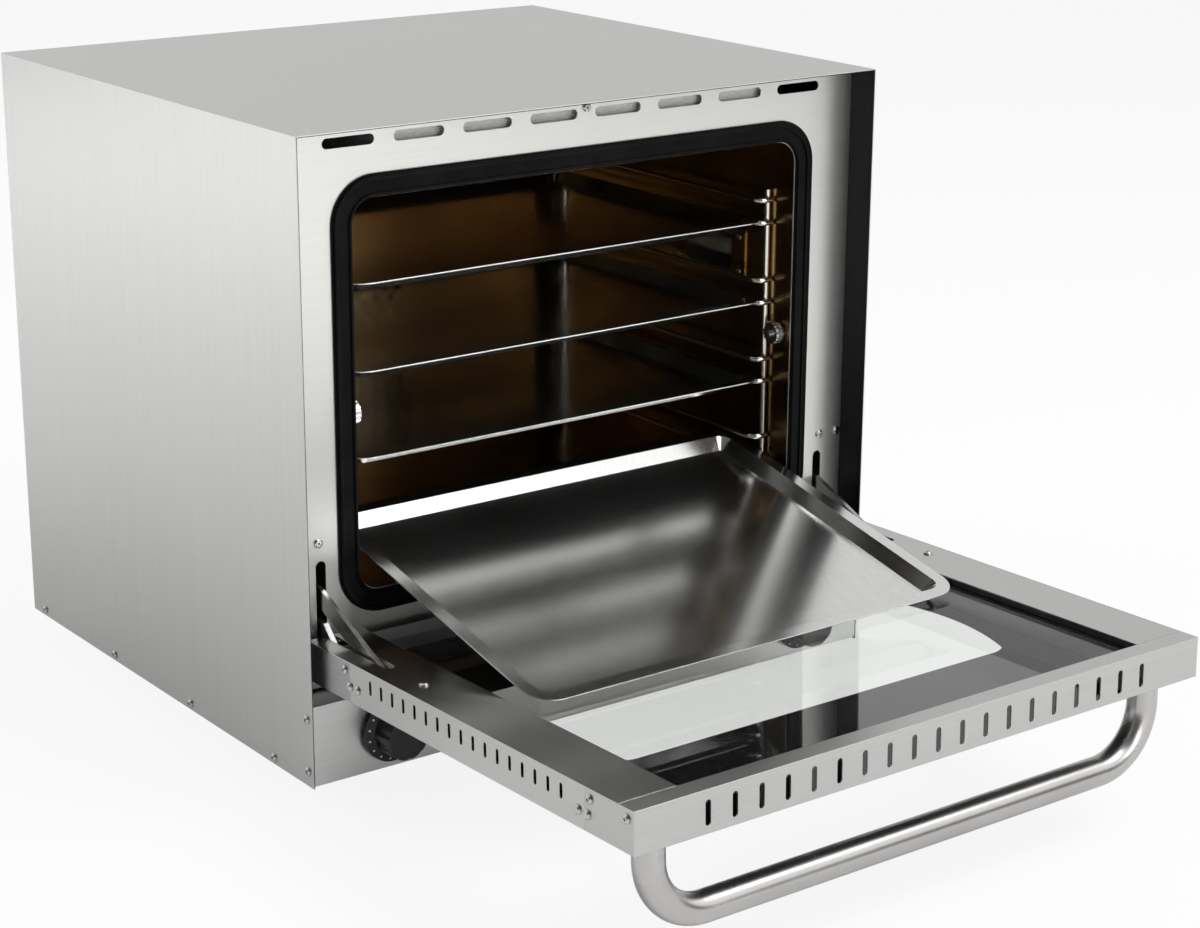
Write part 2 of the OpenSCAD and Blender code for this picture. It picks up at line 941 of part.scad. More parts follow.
// A knob with a dial skirt and a fluted grip that narrows to a rounded cap
module knob(x) {
  edge_r = grip_r - grip_edge / 3;
  edge_z = knob_h - grip_edge / 3;
  color("black")
    translate([x, knob_back, knob_z])
      rotate([90, 0, 0])
        difference() {
          rotate_extrude()
            polygon([
              [0, 0], [knob_r - skirt_edge, 0], [knob_r, skirt_edge], [knob_r, skirt_rim],
              [grip_r + grip_flare, skirt_h], [grip_r, knob_h - grip_edge], [edge_r, edge_z],
              [grip_r - grip_edge, knob_h], [0, knob_h]
            ]);
          for (k = [0:grip_flutes - 1])
            rotate([0, 0, 360 * (k + 0.5) / grip_flutes])
              rod_z([grip_r + flute_r - flute_depth, 0, skirt_h + flute_rise], knob_h, flute_r);
          rod_z([0, 0, -eps], knob_h - knob_cap + eps, shaft_d / 2 + run_gap / 2);
        }
}
module timer_knob() {
  knob(-knob_x);
}
module thermostat_knob() {
  knob(knob_x);
}

// Fan and heater

// Baffle on four hollow feet, with rings of holes in front of the fan
module fan_baffle() {
  half = cav_half - baffle_side;
  low = floor_h + baffle_edge;
  high = cav_top - baffle_edge;
  foot_x = half - baffle_foot / 2;
  back = liner_back - seat_gap;
  color("goldenrod")
    difference() {
      union() {
        box([-half, baffle_y, low], [half, baffle_y + sheet, high]);
        for (x = [-foot_x, foot_x], z = [low + baffle_foot_rise, high - baffle_foot_rise])
          box(
            [x - baffle_foot / 2, baffle_y, z - baffle_foot],
            [x + baffle_foot / 2, back, z + baffle_foot]
          );
      }
      for (x = [-foot_x, foot_x], z = [low + baffle_foot_rise, high - baffle_foot_rise])
        box(
          [x - baffle_foot / 2 + sheet, baffle_y + sheet, z - baffle_foot - eps],
          [x + baffle_foot / 2 - sheet, back - sheet, z + baffle_foot + eps]
        );
      translate([0, 0, cav_mid]) {
        rod_y([0, baffle_y - eps, 0], sheet + 2 * eps, baffle_hole_r);
        for (ring = [1:baffle_rings], k = [0:6 * ring - 1])
          rotate([0, 360 * k / (6 * ring), 0])
            rod_y([baffle_hole_pitch * ring, baffle_y - eps, 0], sheet + 2 * eps, baffle_hole_r);
      }
    }
}

module heating_element() {
  y0 = baffle_y + sheet + ring_gap;
  color("dimgray") {
    for (i = [0, 1])
      translate([0, y0 + i * ring_pitch, cav_mid])
        rotate([90, 0, 0])
          rotate_extrude()
            translate([ring_d / 2, 0])
              circle(ring_wire_r);
    for (x = [-1, 1])
      rod_y([x * ring_leg_x, y0 - ring_leg_r, ring_leg_z], liner_back + ring_leg_out - y0, ring_leg_r);
  }
}

module fan_motor() {
  y0 = liner_back + liner_sheet;
  body_y = y0 + motor_gap;
  color("slategray")
    difference() {
      union() {
        rod_y([0, body_y, cav_mid], motor_l, motor_d / 2);
        rod_y([0, body_y + motor_l, cav_mid], motor_cap_l, motor_d / 4);
        rod_y([0, y0 + sheet, cav_mid], motor_gap, spindle_r + motor_neck);
        for (k = [0:3])
          translate([0, 0, cav_mid])
            rotate([0, 45 + 90 * k, 0])
              rod_y([motor_d / 2 - motor_post_inset, y0, 0], motor_gap + sheet, motor_post_r);
      }
      rod_y([0, y0 - eps, cav_mid], motor_gap + motor_l - motor_end + eps, spindle_r + run_gap);
    }
}

module fan_shaft() {
  end = liner_back + liner_sheet + motor_gap + spindle_in;
  color("silver")
    rod_y([0, spindle_y, cav_mid], end - spindle_y, spindle_r);
}

// A back disc, a hub and a ring of curved blades
module fan_wheel() {
  disc_y = fan_face + blade_w;
  color("silver")
    difference() {
      union() {
        rod_y([0, disc_y, cav_mid], disc_t, fan_d / 2);
        rod_y([0, fan_face, cav_mid], blade_w + hub_proud, hub_r);
        for (k = [0:fan_blades - 1])
          translate([0, disc_y + disc_t / 2, cav_mid])
            rotate([90, 360 * k / fan_blades, 0])
              translate([fan_d / 2 - blade_r - blade_edge, -blade_r + blade_shift, 0])
                rotate([0, 0, 90 - blade_sweep])
                  rotate_extrude(angle = blade_sweep)
                    translate([blade_r - blade_t, 0])
                      square([blade_t, blade_w + disc_t / 2]);
      }
      rod_y([0, spindle_y - run_gap, cav_mid], blade_w + hub_proud, spindle_r + run_gap / 2);
    }
}

// Oven lamp in the right wall

module lamp_window(grow = 0) {
  rounded(window_l + 2 * grow, window_h + 2 * grow, cover_r + grow);
}

module lamp_cover() {
  color("darkgoldenrod")
    translate([0, lamp_y, lamp_z])
      sideways(cav_half - cover_t, cav_half)
        difference() {
          rounded(cover_l, cover_h, cover_r);
          lamp_window();
        }
}

module lamp_glass() {
  color("lightblue")
    translate([0, lamp_y, lamp_z])
      sideways(cav_half, cav_half + lamp_glass_t)
        lamp_window(window_lap - seat_gap);
}

module lamp_holder() {
  x0 = cav_half + liner_sheet;
  half = [cover_l / 2 - lamp_case_end, cover_h / 2];
  wall = lamp_case_sheet;
  color("silver")
    difference() {
      box([x0, lamp_y - half.x, lamp_z - half.y], [x0 + lamp_case_d, lamp_y + half.x, lamp_z + half.y]);
      box(
        [x0 - eps, lamp_y - half.x + wall, lamp_z - half.y + wall],
        [x0 + lamp_case_d - wall, lamp_y + half.x - wall, lamp_z + half.y - wall]
      );
    }
}

// A tube lamp that screws into the rear end of its case
module lamp_bulb() {
  end = lamp_y + cover_l / 2 - lamp_case_end - lamp_case_sheet;
  color("ivory")
    translate([cav_half + liner_sheet + lamp_case_d / 2 + bulb_shift, end, lamp_z]) {
      rod_y([0, -bulb_cap_l, 0], bulb_cap_l, bulb_cap_r);
      rod_y([0, -bulb_cap_l - bulb_l, 0], bulb_l + eps, bulb_r);
      translate([0, -bulb_cap_l - bulb_l, 0])
        sphere(bulb_r);
    }
}

// Shelf ladders, for the right side

module rung(z) {
  bend_x = rung_x + rung_bend;
  rod_y([rung_x, ladder_front + rung_bend, z], ladder_back - ladder_front - 2 * rung_bend, wire_r);
  for (back = [0, 1])
    translate([bend_x, back == 0 ? ladder_front + rung_bend : ladder_back - rung_bend, z])
      rotate([0, 0, back == 0 ? 180 : 90])
        rotate_extrude(angle = 90)
          translate([rung_bend, 0])
            circle(wire_r);
  for (y = [ladder_front, ladder_back])
    rod_x([bend_x, y, z], upright_x - bend_x + wire_r / 2, wire_r);
}

upright_front = ladder_front + wire_d - upright_gap;
upright_back = ladder_back - wire_d + upright_gap;
stud_front = upright_front - wire_r - lug_inset;
stud_back = upright_back + wire_r + lug_inset;

module ladder() {
  lug_x = cav_half - seat_gap - lug_t;
  for (i = [0:tiers - 1], up = [0, 1])
    rung(tier_z(i) + up * rung_gap);
  for (y = [upright_front, upright_back])
    rod_z([upright_x, y, ladder_low], ladder_high - ladder_low, wire_r);
  difference() {
    union() {
      for (y = [stud_front, upright_back])
        box([lug_x, y, nut_z - lug_r], [lug_x + lug_t, y + lug_inset + wire_r, nut_z + lug_r]);
      for (y = [stud_front, stud_back])
        rod_x([lug_x, y, nut_z], lug_t, lug_r);
    }
    for (y = [stud_front, stud_back])
      rod_x([lug_x - eps, y, nut_z], lug_t + 2 * eps, stud_r + seat_gap);
  }
}

module ladder_right() {
  color("silver")
    ladder();
}
module ladder_left() {
  color("silver")
    mirror([1, 0, 0])
      ladder();
}

module ladder_studs() {
  length = lug_t + seat_gap + nut_h + stud_proud;
  color("silver")
    both_sides()
      for (y = [stud_front, stud_back])
        rod_x([cav_half - length, y, nut_z], length, stud_r);
}

module ladder_nuts() {
  x0 = cav_half - seat_gap - lug_t - nut_h;
  color("silver")
    both_sides()
      for (y = [stud_front, stud_back])
        translate([x0, y, nut_z])
          rotate([0, 90, 0])
            difference() {
              cylinder(h = nut_h, r = nut_r);
              for (k = [0:nut_flutes - 1])
                rotate([0, 0, 360 * k / nut_flutes])
                  rod_z([nut_r + nut_flute_out, 0, -eps], nut_h - nut_flange + eps, nut_flute_r);
              rod_z([0, 0, -eps], nut_h + 2 * eps, stud_r + run_gap);
            }
}

// Trays

// Section of a tray from its floor over its sloping wall to its rim, outwards from a corner's centre
module tray_section() {
  wall_in = tray_floor_r;
  wall_out = tray_floor_r + tray_depth;
  polygon([
    [0, -tray_depth], [wall_in, -tray_depth], [wall_out, 0], [tray_r, 0], [tray_r, tray_sheet],
    [wall_out, tray_sheet], [wall_in, tray_sheet - tray_depth], [0, tray_sheet - tray_depth]
  ]);
}

// A tray about the middle of its rim's underside: a floor, four straight sides and four round corners
module tray() {
  run_x = tray_w - 2 * tray_r;
  run_y = tray_d - 2 * tray_r;
  color("gainsboro") {
    box([-run_x / 2, -run_y / 2, -tray_depth], [run_x / 2, run_y / 2, tray_sheet - tray_depth]);
    for (turn = [0:3])
      let (along = turn % 2 == 0 ? run_x : run_y, across = turn % 2 == 0 ? run_y : run_x)
        rotate([0, 0, 90 * turn]) {
          translate([along / 2, -across / 2, 0])
            rotate([90, 0, -90])
              linear_extrude(along)
                tray_section();
          translate([along / 2, -across / 2, 0])
            rotate([0, 0, -90])
              rotate_extrude(angle = 90)
                tray_section();
        }
  }
}

module tray_on_tier(i) {
  translate([0, tray_front + tray_d / 2, tier_z(i) + wire_r + seat_gap])
    tray();
}
module tray_1() {
  tray_on_tier(3);
}
module tray_2() {
  tray_on_tier(2);
}
module tray_3() {
  tray_on_tier(1);
}
module tray_4() {
  translate([0, tip_y, tip_z])
    rotate([tip_angle, 0, 0])
      translate([0, -tray_d / 2, 0])
        tray();
}

// Door, right-hand pieces in the door's own frame

side_screws = [
  [wrap_low - tail_screw_s, side_screw_t], [wrap_high + head_screw_s, side_screw_t],
  [door_high - end_screw_s, side_screw_t]
];
side_rivets = [
  for (s = [wrap_low, wrap_low + rivet_pitch, wrap_high - rivet_back, wrap_high - rivet_back + rivet_pitch])
    [s, rivet_t]
];
face_screw_s = 134;

module door_screw_holes(r) {
  for (p = concat(side_screws, side_rivets))
    rod_x([door_half - hole_l / 2, p.y, p.x], hole_l, r);
}

module door_side() {
  difference() {
    union() {
      box([door_half - sheet, door_out, wrap_low], [door_half, door_in, wrap_high]);
      box([door_half - lip_w, door_out, wrap_low], [door_half, door_out + sheet, wrap_high]);
      box([border_in, door_in - sheet, door_low], [door_half, door_in, door_high - rail_flange - seam_gap]);
    }
    for (i = [0:side_slots - 1])
      translate([0, side_slot_t, side_slot_s + i * side_slot_pitch])
        sideways(door_half - sheet - eps, door_half + eps)
          slot(side_slot_l, side_slot_w);
    box([hinge_x - notch_half, glass_face, door_low - eps], [hinge_x + notch_half, door_in + eps, notch_s]);
    translate([hinge_x, 0, (strap_slot_low + strap_slot_high) / 2])
      upright(door_in - sheet - eps, door_in + eps)
        rotate(90)
          slot(strap_slot_high - strap_slot_low, 2 * strap_slot_half);
    rod_y([hinge_x, door_in - sheet - eps, face_screw_s], sheet + 2 * eps, shank_r + seat_gap);
    door_screw_holes(shank_r + seat_gap);
  }
}

module door_side_right() {
  color("silver")
    on_door()
      door_side();
}
module door_side_left() {
  color("silver")
    on_door()
      mirror([1, 0, 0])
        door_side();
}

module door_top_rail() {
  color("silver")
    on_door()
      difference() {
        union() {
          box([-door_half, door_out, door_high - sheet], [door_half, door_in, door_high]);
          box([-door_half, door_out, door_high - lip_w], [door_half, door_out + sheet, door_high]);
          box([-door_half, door_in - sheet, door_high - rail_flange], [door_half, door_in, door_high]);
          both_sides() {
            box([door_half - sheet, door_out, wrap_high], [door_half, door_in - sheet, door_high]);
            box([door_half - lip_w, door_out, wrap_high], [door_half, door_out + sheet, door_high]);
          }
        }
        for (i = [0:rail_slots - 1])
          translate([(i - (rail_slots - 1) / 2) * rail_slot_pitch, rail_slot_t, door_high - sheet - eps])
            rotate([0, 0, 90])
              linear_extrude(sheet + 2 * eps)
                slot(rail_slot_l, rail_slot_w);
        both_sides()
          door_screw_holes(shank_r + seat_gap);
      }
}

module door_bottom_rail() {
  color("dimgray")
    on_door()
      difference() {
        union() {
          box([-door_half, door_out, door_low], [door_half, glass_face, door_low + sheet]);
          box([-door_half, door_out, door_low], [door_half, door_out + sheet, door_low + lip_w]);
          both_sides() {
            box([door_half - sheet, door_out, door_low], [door_half, door_in - sheet, wrap_low]);
            box([door_half - lip_w, door_out, door_low], [door_half, door_out + sheet, wrap_low]);
          }
        }
        both_sides() {
          box(
            [hinge_x - notch_half, -eye_r + notch_lap, door_low - eps],
            [hinge_x + notch_half, door_in, door_low + sheet + eps]
          );
          door_screw_holes(shank_r + seat_gap);
        }
      }
}

module inner_glass() {
  color("black", 0.6)
    on_door()
      box(
        [-glass_half, glass_back, door_low + sheet + seat_gap],
        [glass_half, glass_face, door_high - sheet - seat_gap]
      );
}

module outer_glass() {
  edge = door_half - sheet - seat_gap;
  color("black", 0.6)
    on_door()
      difference() {
        box(
          [-edge, pane_face, door_low + sheet + seat_gap],
          [edge, pane_back, door_high - sheet - seat_gap]
        );
        both_sides()
          rod_y([handle_x, pane_face - eps, handle_s], outer_glass_t + 2 * eps, bolt_r + seat_gap);
      }
}

module glass_spacers() {
  color("gray")
    on_door()
      both_sides()
        box(
          [glass_half - rim_strip, pane_back, door_low + sheet + strip_end],
          [glass_half, glass_back, door_high - sheet - strip_end]
        );
}

module glass_gasket() {
  inner = glass_half - rim_strip;
  top = door_high - sheet - seat_gap;
  color("black")
    on_door() {
      both_sides()
        box([inner, glass_face, notch_s + strip_end], [glass_half, door_in - sheet, top]);
      box([-inner, glass_face, top - rim_strip], [inner, door_in - sheet, top]);
    }
}

// The handle's tube of one radius along its legs, bends and bar
module handle_path(r, start) {
  bar_half = handle_x - handle_bend;
  leg_end = handle_t + handle_bend;
  rod_x([-bar_half, handle_t, handle_s], 2 * bar_half, r);
  both_sides() {
    translate([bar_half, leg_end, handle_s])
      rotate([0, 0, -90])
        rotate_extrude(angle = 90)
          translate([handle_bend, 0])
            circle(r);
    rod_y([handle_x, leg_end, handle_s], start - leg_end, r);
  }
}

module door_handle() {
  color("gainsboro")
    on_door()
      difference() {
        handle_path(handle_d / 2, pane_face);
        handle_path(handle_d / 2 - handle_wall, pane_face + eps);
      }
}

// Plugs in the ends of the handle's tube that take the bolts
module handle_plugs() {
  color("gray")
    on_door()
      both_sides()
        difference() {
          rod_y([handle_x, pane_face - plug_l, handle_s], plug_l, handle_d / 2 - handle_wall - run_gap);
          rod_y([handle_x, pane_face - plug_l - eps, handle_s], plug_l + 2 * eps, bolt_r + run_gap);
        }
}

module handle_bolts() {
  length = plug_l - bolt_short + outer_glass_t;
  color("silver")
    on_door()
      both_sides() {
        rod_y([handle_x, pane_back - length, handle_s], length, bolt_r);
        rod_y([handle_x, pane_back, handle_s], bolt_head_h, bolt_r + bolt_head_lap);
      }
}

// Hinge pieces, for the right side

// Case behind the front plate with the fixed arm whose eye carries the door
module hinge_case() {
  y0 = liner_front;
  difference() {
    union() {
      box([hinge_x - case_half, y0, case_low], [hinge_x + case_half, y0 + case_l, case_high]);
      box([hinge_x - case_half, y0, case_low], [hinge_x + case_half, y0 + case_sheet, case_high + case_tab]);
    }
    box(
      [hinge_x - case_half + case_sheet, y0 - eps, case_low + case_sheet],
      [hinge_x + case_half - case_sheet, y0 + case_l - case_sheet, case_high - case_sheet]
    );
    rod_y([hinge_x + hinge_screw_x, y0 - eps, fascia_screw_z], case_sheet + 2 * eps, shank_r + seat_gap);
  }
  difference() {
    sideways(hinge_x - arm_t / 2, hinge_x + arm_t / 2)
      hinge_arm_outline();
    rod_x([hinge_x - arm_t, pivot_y, pivot_z], 2 * arm_t, pin_d / 2 + run_gap);
  }
}

// The eye, its tangents to the arm, and the arm's foot on the case's floor
module hinge_arm_outline() {
  y0 = liner_front + case_sheet;
  foot_z = case_low + case_sheet / 2;
  translate([pivot_y, pivot_z])
    circle(eye_r);
  polygon([
    [pivot_y - eye_r * 0.75, pivot_z + eye_r * 0.66], [pivot_y + eye_r / 8, pivot_z - eye_r],
    [pivot_y + eye_r * 0.5, pivot_z - eye_r * 0.866], [fascia_y - arm_throat, arm_low],
    [y0 + arm_foot, arm_low], [y0 + arm_foot, foot_z], [y0 + arm_foot + arm_foot_l, foot_z],
    [y0 + arm_back, arm_high], [fascia_y - 2 * arm_throat, arm_high]
  ]);
}

module hinge_case_right() {
  color("dimgray")
    hinge_case();
}
module hinge_case_left() {
  color("dimgray")
    mirror([1, 0, 0])
      hinge_case();
}

// Fork inside the door that holds the pivot pin and the strap's pin
module hinge_fork() {
  fork_in = pane_back + seat_gap;
  fork_top = door_in - sheet - seat_gap;
  high = strap_pin_s + strap_w / 2 + fork_end;
  difference() {
    union() {
      for (x = [hinge_x - cheek_out, hinge_x + cheek_in])
        sideways(x, x + cheek_t) {
          circle(eye_r);
          polygon([
            [-eye_r, 0], [eye_r, 0], [fork_top, fork_shoulder], [fork_top, high], [fork_in, high],
            [fork_in, fork_low]
          ]);
        }
      box([hinge_x - cheek_out, fork_in, fork_web], [hinge_x + cheek_out, fork_in + cheek_t, high]);
      box([hinge_x + cheek_out, fork_in, high - fork_tab_l], [door_half - sheet, fork_in + fork_tab, high]);
      box([hinge_x - cheek_out, fork_in, high - fork_bridge], [hinge_x + cheek_out, fork_top, high]);
    }
    rod_x([hinge_x - cheek_out - eps, 0, 0], 2 * cheek_out + 2 * eps, pin_d / 2);
    rod_x([hinge_x - cheek_out - eps, strap_pin_t, strap_pin_s], 2 * cheek_out + 2 * eps, pin_d / 2);
    door_screw_holes(shank_r + seat_gap);
  }
}

module hinge_arm_right() {
  color("darkgray")
    on_door()
      hinge_fork();
}
module hinge_arm_left() {
  color("darkgray")
    on_door()
      mirror([1, 0, 0])
        hinge_fork();
}

// A headed pin through the fork, at the origin of the door's frame
module fork_pin() {
  rod_x([hinge_x - cheek_out - pin_end, 0, 0], 2 * cheek_out + pin_end, pin_d / 2);
  rod_x([hinge_x + cheek_out, 0, 0], pin_head_h, pin_d / 2 + pin_head_lap);
}

module hinge_pins() {
  color("silver")
    on_door()
      both_sides()
        fork_pin();
}

module strap_pins() {
  color("silver")
    on_door()
      both_sides()
        translate([0, strap_pin_t, strap_pin_s])
          fork_pin();
}

// The strap that holds the open door, from its pin in the door through the front plate into the case
module hinge_strap() {
  pin_y = pivot_y - sin(door_open) * strap_pin_s + cos(door_open) * strap_pin_t;
  pin_z = pivot_z + cos(door_open) * strap_pin_s + sin(door_open) * strap_pin_t;
  half = strap_w / 2;
  translate([hinge_x - strap_t / 2, pin_y, pin_z])
    rotate([strap_rise, 0, 0])
      difference() {
        sideways(0, strap_t) {
          circle(half);
          translate([0, -half])
            square([strap_l - strap_hook, strap_w]);
          polygon([
            [strap_l - strap_hook, -half], [strap_l - strap_nose, -half], [strap_l, -half + strap_nose],
            [strap_l, half - strap_drop], [strap_l - strap_step, half - strap_drop],
            [strap_l - strap_step - strap_nose, half], [strap_l - strap_hook, half]
          ]);
        }
        rod_x([-eps, 0, 0], strap_t + 2 * eps, pin_d / 2 + run_gap);
      }
}

module hinge_strap_right() {
  color("lightgray")
    hinge_strap();
}
module hinge_strap_left() {
  color("lightgray")
    mirror([1, 0, 0])
      hinge_strap();
}

module door_screws() {
  color("silver")
    on_door()
      both_sides() {
        for (p = side_screws)
          translate([door_half, p.y, p.x])
            rotate([0, 90, 0])
              screw();
        translate([hinge_x, door_in, face_screw_s])
          rotate([-90, 0, 0])
            screw();
      }
}

module door_rivets() {
  color("lightgray")
    on_door()
      both_sides()
        for (p = side_rivets)
          translate([door_half, p.y, p.x])
            rotate([0, 90, 0])
              screw(rivet_l);
}

hood();
back_panel();
base_plate();
feet();
fascia();
cavity_liner();
insulation();
door_seal();
control_panel();
indicator_lamps();
timer_body();
thermostat_body();
fan_baffle();
heating_element();
fan_motor();
lamp_cover();
lamp_glass();
lamp_holder();
lamp_bulb();
ladder_left();
ladder_right();
ladder_studs();
ladder_nuts();
hinge_case_left();
hinge_case_right();
cable_gland();
casing_screws();
fascia_screws();
door_side_left();
door_side_right();
door_top_rail();
door_bottom_rail();
inner_glass();
outer_glass();
glass_spacers();
glass_gasket();
door_handle();
handle_plugs();
handle_bolts();
hinge_arm_left();
hinge_arm_right();
hinge_pins();
strap_pins();
door_screws();
door_rivets();
hinge_strap_left();
hinge_strap_right();
timer_knob();
timer_shaft();
thermostat_knob();
thermostat_shaft();
fan_wheel();
fan_shaft();
tray_1();
tray_2();
tray_3();
tray_4();
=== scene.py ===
import json
import math

import bmesh
import bpy
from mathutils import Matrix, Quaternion, Vector


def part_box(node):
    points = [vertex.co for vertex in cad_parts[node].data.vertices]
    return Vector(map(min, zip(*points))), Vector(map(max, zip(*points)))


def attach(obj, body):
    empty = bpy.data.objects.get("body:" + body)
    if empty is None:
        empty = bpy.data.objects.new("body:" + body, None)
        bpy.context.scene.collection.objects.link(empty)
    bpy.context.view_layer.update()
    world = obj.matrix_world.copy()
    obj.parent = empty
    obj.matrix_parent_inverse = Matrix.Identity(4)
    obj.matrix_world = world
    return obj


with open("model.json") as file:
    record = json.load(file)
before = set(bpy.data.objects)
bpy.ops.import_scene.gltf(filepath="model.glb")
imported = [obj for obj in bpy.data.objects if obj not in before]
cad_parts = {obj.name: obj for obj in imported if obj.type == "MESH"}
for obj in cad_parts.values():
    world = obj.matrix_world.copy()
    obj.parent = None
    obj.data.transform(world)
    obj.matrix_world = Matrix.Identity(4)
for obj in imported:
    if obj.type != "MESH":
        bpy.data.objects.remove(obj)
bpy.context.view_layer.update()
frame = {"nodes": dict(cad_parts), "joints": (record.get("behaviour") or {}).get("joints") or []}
NODES = frame["nodes"]
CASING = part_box("hood")[1]

# Lengths that the finishes share, in metres
SHEET_ROUND = 0.0006
SMALL_ROUND = 0.0004
LINE_DEPTH = 0.0002
MARK_DEPTH = 0.0001
GRAIN_DEPTH = 0.00005


class Value:
    """One output of a shader node. Sums of values are written as plain Python."""

    def __init__(self, finish, node, output):
        self.finish = finish
        self.owner = node
        self.socket = node.outputs[output]

    def out(self, output):
        """Another output of the same node."""
        return Value(self.finish, self.owner, output)

    def maths(self, operation, *values):
        return self.finish.node("Math", {"operation": operation}, dict(enumerate(values)))

    def __add__(self, other):
        return self.maths("ADD", self, other)

    __radd__ = __add__

    def __sub__(self, other):
        return self.maths("SUBTRACT", self, other)

    def __rsub__(self, other):
        return self.maths("SUBTRACT", other, self)

    def __mul__(self, other):
        return self.maths("MULTIPLY", self, other)

    __rmul__ = __mul__

    def __truediv__(self, other):
        return self.maths("DIVIDE", self, other)

    def __rtruediv__(self, other):
        return self.maths("DIVIDE", other, self)

    def __pow__(self, other):
        return self.maths("POWER", self, other)

    def __rpow__(self, other):
        return self.maths("POWER", other, self)

    def __abs__(self):
        return self.maths("ABSOLUTE", self)

    def at_least(self, other):
        return self.maths("MAXIMUM", self, other)

    def at_most(self, other):
        return self.maths("MINIMUM", self, other)

    def step(self, low, high):
        """0 below low and 1 above high, with a soft edge."""
        settings = {"interpolation_type": "SMOOTHSTEP"}
        sockets = {"Value": self, "From Min": low, "From Max": high}
        return self.finish.node("MapRange", settings, sockets)

    def swing(self, amount):
        """A pattern from 0 to 1, moved to lie evenly about 0 and to span the amount."""
        return (self - 0.5) * amount


class Finish:
    """A material, or the studio round the object, whose nodes are added one at a time."""

    # Numbers of the sockets that a Mix node uses for colours
    MIX_SHARE, MIX_ONE, MIX_TWO, MIX_RESULT = 0, 6, 7, 2

    def __init__(self, owner):
        self.material = bpy.data.materials.new(owner) if isinstance(owner, str) else owner
        self.material.use_nodes = True
        self.tree = self.material.node_tree
        self.tree.nodes.clear()

    def node(self, kind, settings=None, sockets=None, output=0):
        made = self.tree.nodes.new("ShaderNode" + kind)
        for name, setting in (settings or {}).items():
            setattr(made, name, setting)
        for name, value in (sockets or {}).items():
            if isinstance(value, Value):
                self.tree.links.new(value.socket, made.inputs[name])
            else:
                made.inputs[name].default_value = value
        return Value(self, made, output) if made.outputs else None

    def place(self):
        """Where a point is on the object, in metres."""
        return self.node("TexCoord", output="Object")

    def axes(self):
        """The same place, with X, Y and Z as outputs of their own."""
        return self.node("SeparateXYZ", sockets={"Vector": self.place()})

    def noise(self, scale, stretch=(1, 1, 1), detail=3.0, rough=0.55):
        """A cloudy pattern from 0 to 1, drawn out along the axes whose stretch is small."""
        where = self.node("Mapping", sockets={"Vector": self.place(), "Scale": stretch})
        sockets = {"Vector": where, "Scale": scale, "Detail": detail, "Roughness": rough}
        return self.node("TexNoise", sockets=sockets)

    def blend(self, share, one, two):
        """A colour that goes from one to two as the share goes from 0 to 1."""
        one, two = (c if isinstance(c, Value) else (*c, 1) for c in (one, two))
        sockets = {self.MIX_SHARE: share, self.MIX_ONE: one, self.MIX_TWO: two}
        return self.node("Mix", {"data_type": "RGBA"}, sockets, self.MIX_RESULT)

    def shades(self, share, colour, darker, lighter):
        """A colour that varies between a darker and a lighter shade of itself."""
        return self.blend(share, tint(colour, darker), tint(colour, lighter))

    def relief(self, height, strength, depth, round_edges=0.0):
        sockets = {"Height": height, "Strength": strength, "Distance": depth}
        if round_edges:
            sockets["Normal"] = self.node("Bevel", {"samples": 4}, {"Radius": round_edges})
        return self.node("Bump", sockets=sockets)

    def principled(self, sockets):
        return self.node("BsdfPrincipled", sockets=sockets)

    def mix(self, share, one, two):
        return self.node("MixShader", sockets={0: share, 1: one, 2: two})

    def surface(self, shader):
        if isinstance(shader, dict):
            shader = self.principled(shader)
        self.node("OutputMaterial", sockets={"Surface": shader})
        return self.material


def tint(colour, factor):
    return tuple(min(1.0, c * factor) for c in colour)


def grey(level):
    return (level, level, level)


def brushed_steel(name, colour, grain, rough=0.3, contrast=0.07, painted_inside_shade=None):
    """Stainless sheet with fine grinding lines. The casing's inner side may be painted dark, as
    painted shade.
    """
    skin_start, skin_end = 0.0005, 0.0008
    finish = Finish(name)
    lines = finish.noise(1.0, grain, 4.0, 0.6)
    clouds = finish.noise(5.0)
    tone = (lines.swing(1.6) + clouds.swing(0.5) + 0.5).at_least(0).at_most(1)
    shade = finish.shades(tone, colour, 1 - contrast, 1 + contrast)
    # Painted shade: faces more than a sheet's thickness inside the casing's sides and top take the
    # dark colour.
    if painted_inside_shade:
        where = finish.axes()
        depth = (CASING.x - abs(where.out("X"))).at_most(CASING.z - where.out("Z"))
        shade = finish.blend(depth.step(skin_start, skin_end), shade, painted_inside_shade)
    return finish.surface({
        "Base Color": shade,
        "Metallic": 1.0,
        "Roughness": rough + lines.swing(0.05) + clouds.swing(0.05),
        "Normal": finish.relief(lines, 0.012, LINE_DEPTH, SHEET_ROUND),
    })


def heat_tinted_steel(name, colour, warm, rough):
    """Stainless sheet with the golden bloom of a hot oven."""
    finish = Finish(name)
    bloom = finish.noise(4.0, (1, 1, 1.6), 4.0)
    lines = finish.noise(1.0, (300, 300, 8), 2.0)
    return finish.surface({
        "Base Color": finish.blend(bloom.step(0.35, 0.68), colour, warm),
        "Metallic": 1.0,
        "Roughness": rough + bloom.swing(0.12) + lines.swing(0.08),
        "Normal": finish.relief(lines, 0.06, LINE_DEPTH),
    })


def polished_metal(name, colour, rough, smear=40.0):
    """Bright metal with faint wipe marks."""
    finish = Finish(name)
    marks = finish.noise(smear, detail=5.0)
    return finish.surface({
        "Base Color": finish.shades(marks.step(0.3, 0.7), colour, 0.94, 1.04),
        "Metallic": 1.0,
        "Roughness": rough + marks.swing(0.06),
        "Normal": finish.relief(marks, 0.03, MARK_DEPTH, SMALL_ROUND),
    })


def worn_patches(finish):
    """Soft patches that plastic and rubber get from handling."""
    return finish.noise(30.0)


def worn_colour(finish, wear, colour, darker=0.85, lighter=1.25):
    return finish.shades(wear.step(0.35, 0.7), colour, darker, lighter)


